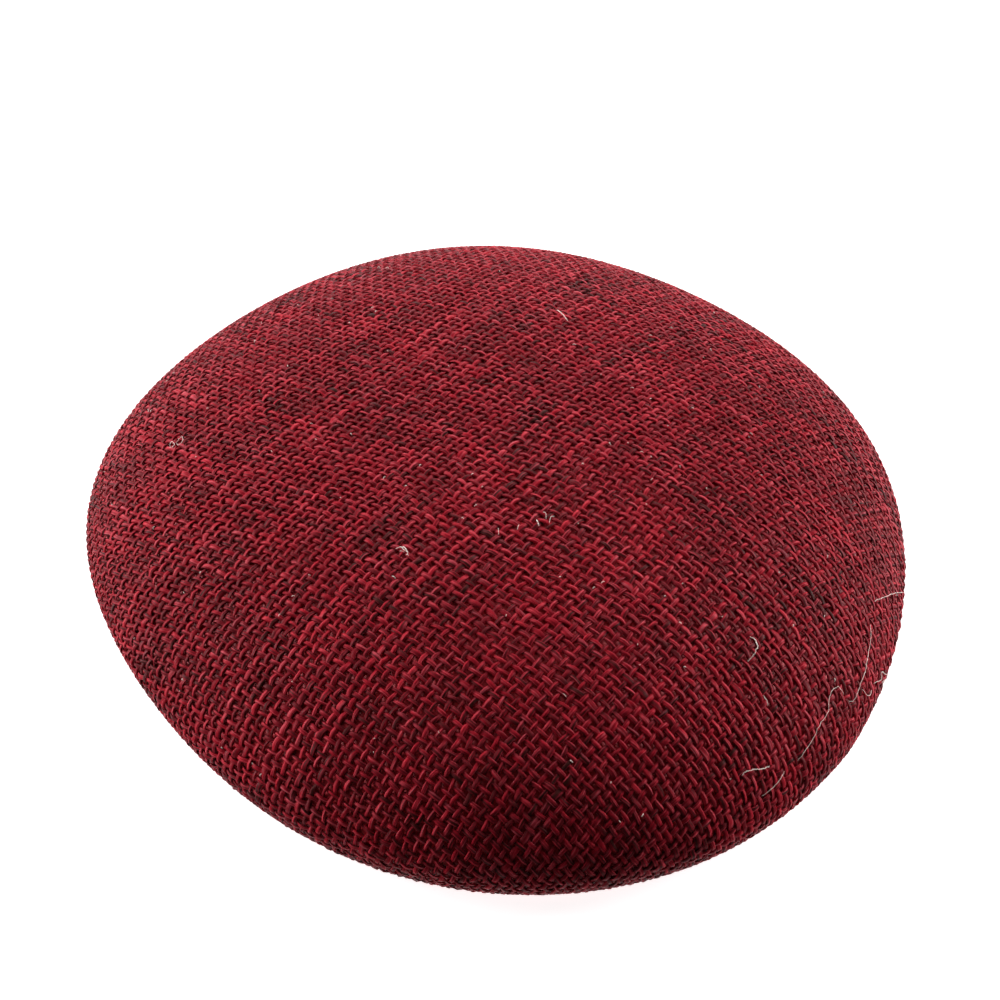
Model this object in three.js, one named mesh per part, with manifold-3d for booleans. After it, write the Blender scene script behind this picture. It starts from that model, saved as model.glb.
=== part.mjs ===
// Plain round fascinator hat of blocked straw: a hollow dome, its bound rim edge
// and the hair comb inside the rim. Millimetres, +Z up, the hat rests on its rim at z = 0.
import * as THREE from "three";
import { mergeVertices, toCreasedNormals } from "three/addons/utils/BufferGeometryUtils.js";
import Module from "manifold-3d";

// Form of the blocked straw
const PLAN_RADIUS = 80; // mean radius at the widest level
const DOME_RISE = 26.2; // from the widest level to the top of the dome
const WIDEST_LEVEL = 7.1; // height of the widest level above the table
const STRAW_WALL = 1.6; // two plies of stiffened straw
const SHOULDER_ACROSS = 2.46; // exponent of the dome's section across, 2 is an ellipse
const SHOULDER_UP = 1.64; // exponent of the dome's section upwards
const RIM_TUCK = 0.1; // how far the straw turns in below the widest level

// Bound edge
const EDGE_HEIGHT = 1.8;
const EDGE_WIDTH = 2.8;
const EDGE_ROUNDING = 0.55;
const SEAM_GAP = 0.3; // left between pieces that are sewn to each other

// Hair comb
const COMB_LENGTH = 40; // along the rim
const COMB_SPINE_HEIGHT = 3.2;
const COMB_SPINE_DEPTH = 2.0;
const COMB_LIFT = 0.6; // the spine's underside above the table
const COMB_BEARING = 90; // degrees round the rim from +X
const TOOTH_COUNT = 13;
const TOOTH_LENGTH = 22;
const TOOTH_WIDTH = 1.2;
const TOOTH_RISE = 22; // degrees above the table, towards the middle of the hat
const TOOTH_BOW = 1.4; // how far the middle of a tooth stands above its chord

// Facets
const ROUND_STEPS = 64;
const DOME_STEPS = 15;
const WALL_STEPS = 4;

// The plan is a circle with shallow lobes, each a share of the mean radius.
const PLAN_LOBES = [
  { lobes: 2, alongX: -0.038, alongY: -0.027 },
  { lobes: 3, alongX: -0.01, alongY: 0.008 },
  { lobes: 4, alongX: 0.011, alongY: 0.004 },
  { lobes: 5, alongX: -0.003, alongY: 0.005 },
];

// Where the rim turns in less than elsewhere: bearing and spread in degrees, share of the tuck.
const RIM_FLARES = [
  { bearing: -40, spread: 5, share: 0.5 },
];

// Sum of the lobes at a bearing in radians, round a mean of one.
function lobed(table, bearing) {
  let share = 1;
  for (const row of table) {
    share += row.alongX * Math.cos(row.lobes * bearing);
    share += row.alongY * Math.sin(row.lobes * bearing);
  }
  return share;
}

// Tuck of the rim at a bearing in radians.
function tuckAt(bearing) {
  let tuck = RIM_TUCK;
  for (const row of RIM_FLARES) {
    const away = bearing - THREE.MathUtils.degToRad(row.bearing);
    const turn = Math.atan2(Math.sin(away), Math.cos(away));
    const spread = THREE.MathUtils.degToRad(row.spread);
    tuck -= RIM_TUCK * row.share * Math.exp(-0.5 * (turn / spread) ** 2);
  }
  return tuck;
}

// Share of the widest radius that the wall keeps at a height below the widest level.
function wallShare(tuck, height) {
  const depth = (WIDEST_LEVEL - height) / WIDEST_LEVEL;
  return Math.pow(1 - tuck * depth * depth, 1 / SHOULDER_ACROSS);
}

// Radius of the hat's outside at a bearing and a height on the wall.
function outerRadius(bearing, height) {
  return PLAN_RADIUS * lobed(PLAN_LOBES, bearing) * wallShare(tuckAt(bearing), height);
}

// One section through the straw, from the pole down to the bottom of the wall.
function strawSection(inset, bottom) {
  const points = [];
  for (let i = 0; i <= DOME_STEPS; i += 1) {
    const turn = (Math.PI / 2) * (1 - i / DOME_STEPS);
    const across = i === 0 ? 0 : Math.pow(Math.cos(turn), 2 / SHOULDER_ACROSS);
    const up = i === DOME_STEPS ? 0 : Math.pow(Math.sin(turn), 2 / SHOULDER_UP);
    const radius = (PLAN_RADIUS - inset) * across;
    points.push(new THREE.Vector2(radius, WIDEST_LEVEL + (DOME_RISE - inset) * up));
  }
  for (let i = 1; i <= WALL_STEPS; i += 1) {
    const height = WIDEST_LEVEL + (bottom - WIDEST_LEVEL) * (i / WALL_STEPS);
    const radius = (PLAN_RADIUS - inset) * wallShare(RIM_TUCK, height);
    points.push(new THREE.Vector2(radius, height));
  }
  return points;
}

// A body turned about +Z, from its section as points of radius and height.
function turned(section) {
  const geometry = new THREE.LatheGeometry(section, ROUND_STEPS);
  geometry.rotateX(Math.PI / 2);
  return geometry;
}

// Moves each point of a turned body to the radius that a rule gives it.
function reshaped(geometry, radiusAt) {
  const place = geometry.getAttribute("position");
  for (let i = 0; i < place.count; i += 1) {
    const x = place.getX(i);
    const y = place.getY(i);
    const radius = Math.hypot(x, y);
    if (radius < 1e-6) {
      continue;
    }
    const share = radiusAt(Math.atan2(y, x), radius, place.getZ(i)) / radius;
    place.setX(i, x * share);
    place.setY(i, y * share);
  }
  return geometry;
}

// Welded copy with positions only, as one closed body.
function welded(geometry) {
  const plain = geometry.clone();
  plain.deleteAttribute("uv");
  plain.deleteAttribute("normal");
  return mergeVertices(plain, 1e-4);
}

// Crown: the outer face, down to the cut edge, and back up the inner face.
function crownGeometry() {
  const bottom = EDGE_HEIGHT + SEAM_GAP;
  const outside = strawSection(0, bottom);
  const inside = strawSection(STRAW_WALL, bottom);
  const section = [...inside, ...outside.reverse()];
  return reshaped(turned(section), (bearing, radius, height) => {
    const below = height < WIDEST_LEVEL;
    const turn = below ? wallShare(tuckAt(bearing), height) / wallShare(RIM_TUCK, height) : 1;
    return radius * lobed(PLAN_LOBES, bearing) * turn;
  });
}

// Rim edge: a bead with a flat underside, flush with the outside of the straw.
function edgeGeometry() {
  const corners = [
    { across: 0, up: 0 },
    { across: -1, up: 0 },
    { across: -1, up: 1 },
    { across: 0, up: 1 },
  ];
  const section = [];
  for (let i = 0; i < corners.length; i += 1) {
    const here = corners[i];
    const middleAcross = PLAN_RADIUS + EDGE_WIDTH * here.across;
    const centreAcross = middleAcross + EDGE_ROUNDING * (here.across === 0 ? -1 : 1);
    const centreUp = EDGE_HEIGHT * here.up + EDGE_ROUNDING * (here.up === 0 ? 1 : -1);
    for (const step of [0, 0.5, 1]) {
      const turn = -(Math.PI / 2) * (i + step);
      const radius = centreAcross + EDGE_ROUNDING * Math.cos(turn);
      section.push(new THREE.Vector2(radius, centreUp + EDGE_ROUNDING * Math.sin(turn)));
    }
  }
  section.push(section[0].clone());
  return reshaped(turned(section.reverse()), (bearing, radius) => {
    return radius - PLAN_RADIUS + outerRadius(bearing, EDGE_HEIGHT);
  });
}

// Route of the comb's spine: beside the bead's inner face, one seam gap away.
function spineCurve() {
  const points = [];
  const middle = THREE.MathUtils.degToRad(COMB_BEARING);
  const spread = COMB_LENGTH / (2 * PLAN_RADIUS * wallShare(RIM_TUCK, 0));
  const inset = EDGE_WIDTH + SEAM_GAP + COMB_SPINE_DEPTH / 2;
  for (const share of [-1, -0.75, -0.5, -0.25, 0, 0.25, 0.5, 0.75, 1]) {
    const bearing = middle + spread * share;
    const radius = outerRadius(bearing, EDGE_HEIGHT) - inset;
    const height = COMB_LIFT + COMB_SPINE_HEIGHT / 2;
    points.push(new THREE.Vector3(radius * Math.cos(bearing), radius * Math.sin(bearing), height));
  }
  return new THREE.CatmullRomCurve3(points);
}

// Spine of the comb: a bar that follows the rim, as side walls joined by two end faces.
function spineGeometry(curve) {
  const outline = new THREE.Shape();
  const inner = [];
  const outer = [];
  const steps = 16;
  for (let i = 0; i <= steps; i += 1) {
    const place = curve.getPoint(i / steps);
    const along = curve.getTangent(i / steps);
    const aside = new THREE.Vector2(-along.y, along.x).multiplyScalar(COMB_SPINE_DEPTH / 2);
    inner.push(new THREE.Vector2(place.x + aside.x, place.y + aside.y));
    outer.unshift(new THREE.Vector2(place.x - aside.x, place.y - aside.y));
  }
  outline.setFromPoints([...inner, ...outer]);
  const bar = new THREE.ExtrudeGeometry(outline, { depth: COMB_SPINE_HEIGHT, bevelEnabled: false });
  return bar.translate(0, 0, COMB_LIFT);
}

// One tooth: a rounded rod, bowed upwards, from inside the spine towards the hat's middle.
function toothGeometry(root, inward) {
  const rise = THREE.MathUtils.degToRad(TOOTH_RISE);
  const aim = new THREE.Vector3(inward.x * Math.cos(rise), inward.y * Math.cos(rise), Math.sin(rise));
  const lift = new THREE.Vector3(-inward.x * Math.sin(rise), -inward.y * Math.sin(rise), Math.cos(rise));
  const points = [];
  for (const share of [0, 0.25, 0.5, 0.75, 1]) {
    const bow = TOOTH_BOW * 4 * share * (1 - share);
    points.push(root.clone().addScaledVector(aim, TOOTH_LENGTH * share).addScaledVector(lift, bow));
  }
  const section = new THREE.Shape();
  const sides = 6;
  for (let i = 0; i < sides; i += 1) {
    const turn = ((i + 0.5) * 2 * Math.PI) / sides;
    const across = (TOOTH_WIDTH / 2) * Math.cos(turn);
    const up = (TOOTH_WIDTH / 2) * Math.sin(turn);
    if (i === 0) {
      section.moveTo(across, up);
    } else {
      section.lineTo(across, up);
    }
  }
  section.closePath();
  const route = new THREE.CatmullRomCurve3(points);
  return new THREE.ExtrudeGeometry(section, { steps: 5, extrudePath: route });
}

const wasm = await Module();
wasm.setup();

// A closed body as a solid that can be joined.
function solidOf(geometry) {
  const body = welded(geometry);
  const vertProperties = new Float32Array(body.getAttribute("position").array);
  const triVerts = new Uint32Array(body.getIndex().array);
  return new wasm.Manifold(new wasm.Mesh({ numProp: 3, vertProperties, triVerts }));
}

// Comb: the spine and its teeth joined into one piece.
function combGeometry() {
  const curve = spineCurve();
  let comb = solidOf(spineGeometry(curve));
  for (let i = 0; i < TOOTH_COUNT; i += 1) {
    const pitch = (COMB_LENGTH - TOOTH_WIDTH) / COMB_LENGTH;
    const share = 0.5 + pitch * (i / (TOOTH_COUNT - 1) - 0.5);
    const root = curve.getPointAt(share);
    const along = curve.getTangentAt(share);
    const inward = new THREE.Vector3(-along.y, along.x, 0).normalize();
    comb = comb.add(solidOf(toothGeometry(root, inward)));
  }
  const mesh = comb.getMesh();
  const geometry = new THREE.BufferGeometry();
  geometry.setAttribute("position", new THREE.BufferAttribute(new Float32Array(mesh.vertProperties), 3));
  geometry.setIndex(new THREE.BufferAttribute(new Uint32Array(mesh.triVerts), 1));
  return geometry;
}

// Materials: dyed straw, its bound edge, and the comb's plain resin
const straw = new THREE.MeshStandardMaterial({ color: 0x6e1420, roughness: 0.7, metalness: 0 });
const binding = new THREE.MeshStandardMaterial({ color: 0x58101a, roughness: 0.65, metalness: 0 });
const resin = new THREE.MeshStandardMaterial({ color: 0x2a1512, roughness: 0.35, metalness: 0 });

// A named piece of the hat, ready for the scene.
function piece(name, geometry, material) {
  const mesh = new THREE.Mesh(toCreasedNormals(welded(geometry)), material);
  mesh.name = name;
  return mesh;
}

const hat = new THREE.Group();
hat.add(piece("crown", crownGeometry(), straw));
hat.add(piece("rim_edge", edgeGeometry(), binding));
hat.add(piece("comb", combGeometry(), resin));

// The middle of the hat's plan stands over the origin.
const reach = new THREE.Box3().setFromObject(hat);
const middle = reach.getCenter(new THREE.Vector3());
hat.position.set(-middle.x, -middle.y, 0);

export default hat;
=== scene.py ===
"""Fascinator hat: a small round percher of dyed straw, with a comb inside its back edge.

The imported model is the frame: metres, +Z up, the rim's plane at z = 0. Sizes
below are in millimetres and bearings in degrees, anticlockwise from +X seen
from above. The outer ply is woven straw by straw over the blocked form, the
inner ply is one thin shell under it, and both are turned in round a bead.
"""

import logging
import math
from dataclasses import dataclass, field
from enum import Enum

import bpy
import numpy as np
from mathutils import Matrix


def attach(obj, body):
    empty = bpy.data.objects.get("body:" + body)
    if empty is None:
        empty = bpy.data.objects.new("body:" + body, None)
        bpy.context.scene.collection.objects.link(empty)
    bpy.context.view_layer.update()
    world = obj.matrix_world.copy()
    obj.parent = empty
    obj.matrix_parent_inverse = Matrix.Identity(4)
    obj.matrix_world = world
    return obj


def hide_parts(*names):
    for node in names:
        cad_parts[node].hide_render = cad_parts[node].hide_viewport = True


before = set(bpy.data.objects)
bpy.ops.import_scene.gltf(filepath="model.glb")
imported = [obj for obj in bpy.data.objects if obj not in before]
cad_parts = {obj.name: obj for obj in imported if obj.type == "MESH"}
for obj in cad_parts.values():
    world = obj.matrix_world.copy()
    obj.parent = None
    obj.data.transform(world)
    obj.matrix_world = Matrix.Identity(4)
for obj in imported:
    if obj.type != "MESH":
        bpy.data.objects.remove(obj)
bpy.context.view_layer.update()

LOG = logging.getLogger("fascinator_hat")
MM = 0.001
TAU = 2.0 * math.pi


# Mesh and node helpers


@dataclass
class Skin:
    """Faces of one size: their vertices, and a UV pair for each corner."""

    corners: np.ndarray
    uv: np.ndarray


def mesh_piece(name: str, points: np.ndarray, skins: list[Skin], smooth: bool = True) -> bpy.types.Object:
    """Makes a mesh object from whole arrays.

    Args:
        name: The piece's name.
        points: Vertices in millimetres, (count, 3).
        skins: Faces with their UVs, one entry for each number of corners.
        smooth: Whether the faces are shaded smooth.

    Returns:
        The object, linked to the scene, at the origin.
    """
    loops = np.concatenate([skin.corners.ravel() for skin in skins]).astype(np.int32)
    sizes = np.concatenate([np.full(len(s.corners), s.corners.shape[1]) for s in skins])
    starts = np.concatenate([[0], np.cumsum(sizes)[:-1]]).astype(np.int32)
    uvs = np.concatenate([skin.uv.reshape(-1, 2) for skin in skins]).astype(np.float32)
    mesh = bpy.data.meshes.new(name)
    mesh.vertices.add(len(points))
    mesh.vertices.foreach_set("co", (points * MM).astype(np.float32).ravel())
    mesh.loops.add(len(loops))
    mesh.loops.foreach_set("vertex_index", loops)
    mesh.polygons.add(len(sizes))
    mesh.polygons.foreach_set("loop_start", starts)
    mesh.polygons.foreach_set("use_smooth", np.full(len(sizes), smooth))
    mesh.update(calc_edges=True)
    mesh.uv_layers.new(name="UVMap").data.foreach_set("uv", uvs.ravel())
    mesh.validate()
    piece = bpy.data.objects.new(name, mesh)
    bpy.context.scene.collection.objects.link(piece)
    return piece


def set_attribute(piece: bpy.types.Object, name: str, values: np.ndarray) -> None:
    """Stores one number for each vertex, for the piece's material to read.

    Args:
        piece: The piece.
        name: The attribute's name.
        values: The numbers, one a vertex.
    """
    layer = piece.data.attributes.new(name, "FLOAT", "POINT")
    layer.data.foreach_set("value", values.astype(np.float32).ravel())


def dress(piece: bpy.types.Object, material: bpy.types.Material, slot: str, *nodes: str) -> None:
    """Gives a new piece its material and its body, and hides the nodes of the frame that it stands for.

    Args:
        piece: The piece.
        material: Its finish.
        slot: The name meant for its material slot; not used.
        *nodes: The nodes of the frame that it replaces.
    """
    piece.data.materials.clear()
    piece.data.materials.append(material)
    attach(piece, "root")
    if nodes:
        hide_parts(*nodes)
    LOG.info("%s: %d faces", piece.name, len(piece.data.polygons))


def linear(code: str) -> tuple[float, float, float, float]:
    """Turns an sRGB hex colour to linear light.

    Args:
        code: The colour, such as "#A8202E".

    Returns:
        Red, green, blue and one. c <= 0.04045 gives c / 12.92, and the rest
        ((c + 0.055) / 1.055) ** 2.4.
    """
    parts = [int(code.lstrip("#")[i : i + 2], 16) / 255.0 for i in (0, 2, 4)]
    light = [c / 12.92 if c <= 0.04045 else ((c + 0.055) / 1.055) ** 2.4 for c in parts]
    return light[0], light[1], light[2], 1.0


class Graph:
    """A material's or the world's node tree, filled one node at a time."""

    def __init__(self, owner: bpy.types.Material | bpy.types.World) -> None:
        """Empties the owner's node tree and keeps it.

        Args:
            owner: The material or the world.
        """
        owner.use_nodes = True
        self.tree = owner.node_tree
        self.tree.nodes.clear()

    def add(self, kind: str, settings: dict | None = None, **sockets: object) -> bpy.types.Node:
        """Adds one node with its settings and links.

        Args:
            kind: The node's type, such as "ShaderNodeMath".
            settings: Attributes set on the node.
            **sockets: Inputs by name with _ for a space, or in3 for the input
                numbered 3; a value, or an output socket to link.

        Returns:
            The node.
        """
        node = self.tree.nodes.new(kind)
        for key, value in (settings or {}).items():
            setattr(node, key, value)
        for key, value in sockets.items():
            numbered = key.startswith("in") and key[2:].isdigit()
            socket = node.inputs[int(key[2:])] if numbered else node.inputs[key.replace("_", " ")]
            if isinstance(value, bpy.types.NodeSocket):
                self.tree.links.new(value, socket)
            else:
                socket.default_value = value
        return node

    def math(self, operation: str, *values: object) -> bpy.types.NodeSocket:
        """Adds one Math node and returns its result."""
        inputs = {f"in{i}": value for i, value in enumerate(values)}
        return self.add("ShaderNodeMath", {"operation": operation}, **inputs).outputs[0]

    def mix(self, share: object, first: object, second: object) -> bpy.types.NodeSocket:
        """Adds one Mix node for two colours and returns its result."""
        node = self.add("ShaderNodeMix", {"data_type": "RGBA"}, in0=share, in6=first, in7=second)
        return node.outputs[2]

    def noise(self, dimensions: str, **sockets: object) -> bpy.types.NodeSocket:
        """Adds one Noise node, "2D" or "3D", and returns its factor."""
        return self.add("ShaderNodeTexNoise", {"noise_dimensions": dimensions}, **sockets).outputs[0]

    def bump(self, height: bpy.types.NodeSocket, strength: float, relief: float) -> bpy.types.NodeSocket:
        """Adds one Bump node, its relief in millimetres, and returns the normal."""
        node = self.add("ShaderNodeBump", None, Height=height, Strength=strength, Distance=relief * MM)
        return node.outputs[0]

    def surface(self, **sockets: object) -> None:
        """Adds the Principled shader with these inputs and joins it to the output."""
        shader = self.add("ShaderNodeBsdfPrincipled", None, **sockets)
        self.add("ShaderNodeOutputMaterial", None, Surface=shader.outputs[0])


# The blocked form


@dataclass(frozen=True)
class BlockedForm:
    """The outer face that the straw is blocked to, the same surface as the crown's solid.

    Above the widest level, with h the share of the rise and r the share of
    the plan's radius, r ** across + h ** up = 1. Below it, with d the share of
    the way down to the table, r = (1 - tuck d^2) ** (1 / across). The plan's
    radius at a bearing b is radius (1 + sum of x cos n b + y sin n b), for
    each lobe (n, x, y). The flare (bearing, spread, share) takes its share of
    the tuck away round its bearing. At the fold the straw turns inwards round
    fold_radius, down to fold_level above the table.
    """

    radius: float = 80.0
    rise: float = 26.2
    widest: float = 7.1
    across: float = 2.46
    up: float = 1.64
    tuck: float = 0.1
    flare: tuple[float, float, float] = (-40.0, 5.0, 0.5)
    lobes: tuple[tuple[int, float, float], ...] = (
        (2, -0.038, -0.027),
        (3, -0.01, 0.008),
        (4, 0.011, 0.004),
        (5, -0.003, 0.005),
    )
    centre: tuple[float, float] = (1.163, 0.306)
    fold_level: float = 0.36
    fold_radius: float = 0.85
    table_size: int = 20001
    table: tuple[np.ndarray, np.ndarray, np.ndarray] = field(init=False, repr=False)

    def __post_init__(self) -> None:
        """Works out the meridian's arc length against its share of radius and rise."""
        turn = np.linspace(0.0, math.pi / 2.0, self.table_size)
        share = np.sin(turn) ** (2.0 / self.across)
        height = np.cos(turn) ** (2.0 / self.up)
        steps = np.hypot(np.diff(share) * self.radius, np.diff(height) * self.rise)
        arc = np.concatenate([[0.0], np.cumsum(steps)])
        object.__setattr__(self, "table", (arc, share, height))

    @property
    def arc_to_widest(self) -> float:
        """The arc from the apex down to the widest level."""
        return float(self.table[0][-1])

    def arc_at_level(self, level: float) -> float:
        """The arc from the apex down to a level on the wall, in millimetres."""
        return self.arc_to_widest + self.widest - level

    def lobed(self, bearing: np.ndarray) -> np.ndarray:
        """The plan's radius as a share of its mean.

        Args:
            bearing: Bearings in radians.

        Returns:
            One share for each bearing.
        """
        share = np.ones_like(bearing)
        for count, along_x, along_y in self.lobes:
            share = share + along_x * np.cos(count * bearing) + along_y * np.sin(count * bearing)
        return share

    def tuck_at(self, bearing: np.ndarray) -> np.ndarray:
        """How much the wall turns in at the table, less where the rim flares.

        Args:
            bearing: Bearings in radians.

        Returns:
            The tuck at each bearing.
        """
        middle, spread, share = self.flare
        away = bearing - math.radians(middle)
        away = np.arctan2(np.sin(away), np.cos(away))
        return self.tuck * (1.0 - share * np.exp(-0.5 * (away / math.radians(spread)) ** 2))

    def surface(self, arc: np.ndarray, bearing: np.ndarray) -> np.ndarray:
        """Points of the outer face.

        Down the wall the level is widest less the arc past the widest level.
        At the fold the face turns inwards through a quarter circle, and then
        runs level towards the middle.

        Args:
            arc: Arc length from the apex along the meridian.
            bearing: Bearing in radians.

        Returns:
            Points in millimetres, (..., 3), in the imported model's frame.
        """
        arcs, shares, heights = self.table
        share = np.interp(arc, arcs, shares)
        level = self.widest + self.rise * np.interp(arc, arcs, heights)
        below = np.maximum(arc - self.arc_to_widest, 0.0)
        turn_level = self.fold_level + self.fold_radius
        wall = np.minimum(below, self.widest - turn_level)
        depth = wall / self.widest
        on_wall = (1.0 - self.tuck_at(bearing) * depth**2) ** (1.0 / self.across)
        turn = np.clip((below - wall) / self.fold_radius, 0.0, math.pi / 2.0)
        level_run = below - wall - turn * self.fold_radius
        radial = self.radius * self.lobed(bearing) * np.where(below > 0.0, on_wall, share)
        radial = radial - self.fold_radius * (1.0 - np.cos(turn)) - level_run
        level = np.where(below > 0.0, self.widest - wall - self.fold_radius * np.sin(turn), level)
        x = radial * np.cos(bearing) + self.centre[0]
        y = radial * np.sin(bearing) + self.centre[1]
        return np.stack([x, y, level], axis=-1)


@dataclass(frozen=True)
class StrawMap:
    """Where each straw lies on the blocked form.

    Straws are numbered from the apex: falling straws run along increasing a
    at whole b, rising straws along increasing b at whole a. With u = a / 45
    and v = b / 45 the meridian's arc, laid out flat round the apex, is the odd
    cubic east = sum p u^i v^j, north = sum q u^i v^j in radii of the plan,
    because the square cloth shears as it is blocked over the dome.
    """

    form: BlockedForm
    unit: float = 45.0
    terms: tuple[tuple[int, int, float, float], ...] = (
        (1, 0, 0.78, -0.441),
        (0, 1, 0.578, 0.626),
        (3, 0, -0.073, -0.124),
        (2, 1, 0.037, -0.12),
        (1, 2, 0.06, -0.082),
        (0, 3, -0.022, 0.001),
    )

    def flat(self, a: np.ndarray, b: np.ndarray) -> tuple[np.ndarray, np.ndarray]:
        """East and north of the straw numbers.

        Args:
            a: Numbers along the falling straws.
            b: Numbers along the rising straws.

        Returns:
            East and north, in millimetres of arc from the apex.
        """
        u, v = a / self.unit, b / self.unit
        east = sum(p * u**i * v**j for i, j, p, _ in self.terms)
        north = sum(q * u**i * v**j for i, j, _, q in self.terms)
        return east * self.form.radius, north * self.form.radius

    def arc(self, a: np.ndarray, b: np.ndarray) -> np.ndarray:
        """Arc length from the apex at the straw numbers."""
        return np.hypot(*self.flat(a, b))

    def surface(self, a: np.ndarray, b: np.ndarray) -> np.ndarray:
        """Points of the outer face at the straw numbers."""
        east, north = self.flat(a, b)
        return self.form.surface(np.hypot(east, north), np.arctan2(north, east))

    def frame_at(self, a: np.ndarray, b: np.ndarray, step: float = 0.12) -> tuple[np.ndarray, ...]:
        """The surface, its two slopes and its outward normal, by central differences.

        Args:
            a: Numbers along the falling straws.
            b: Numbers along the rising straws.
            step: Half the difference's width, in straws.

        Returns:
            Points, slope along a, slope along b (millimetres a straw), unit normal.
        """
        point = self.surface(a, b)
        along_a = (self.surface(a + step, b) - self.surface(a - step, b)) / (2.0 * step)
        along_b = (self.surface(a, b + step) - self.surface(a, b - step)) / (2.0 * step)
        return point, along_a, along_b, unit(np.cross(along_a, along_b))

    def slopes(self, a: np.ndarray, b: np.ndarray, step: float = 1e-3) -> tuple[np.ndarray, ...]:
        """How east and north change with the straw numbers, by central differences.

        Args:
            a: Numbers along the falling straws.
            b: Numbers along the rising straws.
            step: Half the difference's width, in straws.

        Returns:
            East and north by a, then by b, in millimetres a straw.
        """
        by_a = zip(self.flat(a + step, b), self.flat(a - step, b))
        by_b = zip(self.flat(a, b + step), self.flat(a, b - step))
        return tuple((high - low) / (2.0 * step) for pairs in (by_a, by_b) for high, low in pairs)

    def numbers_at(
        self, arc: np.ndarray, bearing: np.ndarray, rounds: int = 12
    ) -> tuple[np.ndarray, np.ndarray]:
        """The straw numbers at points of the outer face, by Newton's method on the cubic.

        Args:
            arc: Arc lengths from the apex, in millimetres.
            bearing: Bearings in radians.
            rounds: Newton steps, from the cubic's linear part.

        Returns:
            Numbers along the falling straws and along the rising ones.
        """
        goal_east, goal_north = arc * np.cos(bearing), arc * np.sin(bearing)
        linear_part = np.array([term[2:] for term in self.terms[:2]]).T
        start = np.linalg.inv(linear_part) @ np.stack([goal_east, goal_north])
        a, b = start * self.unit / self.form.radius
        for _ in range(rounds):
            east, north = self.flat(a, b)
            east_a, north_a, east_b, north_b = self.slopes(a, b)
            spread = east_a * north_b - east_b * north_a
            short_east, short_north = goal_east - east, goal_north - north
            a = a + (north_b * short_east - east_b * short_north) / spread
            b = b + (east_a * short_north - north_a * short_east) / spread
        return a, b


def unit(vectors: np.ndarray, least: float = 1e-9) -> np.ndarray:
    """Brings vectors to length one.

    Args:
        vectors: Vectors in the last axis.
        least: Length below which a vector is taken to have this length.

    Returns:
        The unit vectors.
    """
    return vectors / np.maximum(np.linalg.norm(vectors, axis=-1, keepdims=True), least)


# Finishes


@dataclass(frozen=True)
class DyedStraw:
    """Abaca straw: flat bundles of leaf fibre, dyed, stiffened with size.

    The dye takes unevenly, so one straw runs from bright red through maroon
    to a dull brown. The fibres show as fine streaks along it. The size's satin
    gloss is partly real, from the roughness and specular, and partly a painted
    sheen: a pale pink mixed into the colour on the streaks that stand proud.
    """

    name: str = "dyed_abaca_straw"
    dull: str = "#4A201E"
    brown: str = "#741E26"
    maroon: str = "#981C2A"
    red: str = "#B41A2C"
    bright: str = "#D23543"
    tones: tuple[float, ...] = (0.0, 0.24, 0.5, 0.76, 1.0)
    painted_sheen: str = "#D47C88"
    painted_sheen_from: float = 0.55
    painted_sheen_full: float = 0.75
    painted_sheen_most: float = 0.36
    roughness: float = 0.44
    specular: float = 0.05
    fibre_spacing: float = 0.34
    streak_length: float = 12.0
    streak_dye: float = 2.0
    bundle_dye: float = 1.3
    relief: float = 0.18

    def material(self) -> bpy.types.Material:
        """Draws dye, streaks and a painted sheen on the UV, millimetres along and across the straw.

        The tone of the straw, plus twice the fine streak less one and a
        broader streak likewise, picks the dye's colour.

        Returns:
            The straw's material.
        """
        material = bpy.data.materials.new(self.name)
        graph = Graph(material)
        uv = graph.add("ShaderNodeUVMap", {"uv_map": "UVMap"}).outputs[0]
        tone = graph.add("ShaderNodeAttribute", {"attribute_name": "tone"}).outputs["Fac"]
        fine = (1.0 / self.streak_length, 1.0 / self.fibre_spacing, 1.0)
        coarse = (0.5 / self.streak_length, 0.35 / self.fibre_spacing, 1.0)
        fibres = graph.add("ShaderNodeMapping", None, Vector=uv, Scale=fine).outputs[0]
        bundles = graph.add("ShaderNodeMapping", None, Vector=uv, Scale=coarse).outputs[0]
        streak = graph.noise("2D", Vector=fibres, Scale=1.0, Detail=2.0, Roughness=0.6)
        bundle = graph.noise("2D", Vector=bundles, Scale=1.0, Detail=1.0)
        fine_part = graph.math("MULTIPLY_ADD", streak, self.streak_dye, -self.streak_dye / 2.0)
        bundle_part = graph.math("MULTIPLY_ADD", bundle, self.bundle_dye, -self.bundle_dye / 2.0)
        mixed = graph.math("ADD", graph.math("ADD", tone, fine_part), bundle_part)
        dye = self._dye_ramp(graph, mixed)
        # Painted sheen: a pale pink is mixed into the colour where the fine streak is high, as a painted
        # highlight.
        painted_sheen_share = graph.add(
            "ShaderNodeMapRange",
            None,
            Value=streak,
            in1=self.painted_sheen_from,
            in2=self.painted_sheen_full,
            in3=0.0,
            in4=self.painted_sheen_most,
        ).outputs[0]
        graph.surface(
            Base_Color=graph.mix(painted_sheen_share, dye, linear(self.painted_sheen)),
            Roughness=self.roughness,
            Specular_IOR_Level=self.specular,
            Normal=graph.bump(streak, 0.7, self.relief),
        )
        return material

    def _dye_ramp(self, graph: Graph, tone: bpy.types.NodeSocket) -> bpy.types.NodeSocket:
        """Adds the ramp from dull to bright.

        Args:
            graph: The straw's nodes.
            tone: How far the dye has taken, 0 to 1.

        Returns:
            The dye's colour.
        """
        ramp = graph.add("ShaderNodeValToRGB", None, Fac=tone)
        colours = (self.dull, self.brown, self.maroon, self.red, self.bright)
        for place in self.tones[1:-1]:
            ramp.color_ramp.elements.new(place)
        for element, place, code in zip(ramp.color_ramp.elements, self.tones, colours):
            element.position = place
            element.color = linear(code)
        return ramp.outputs[0]


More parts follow.
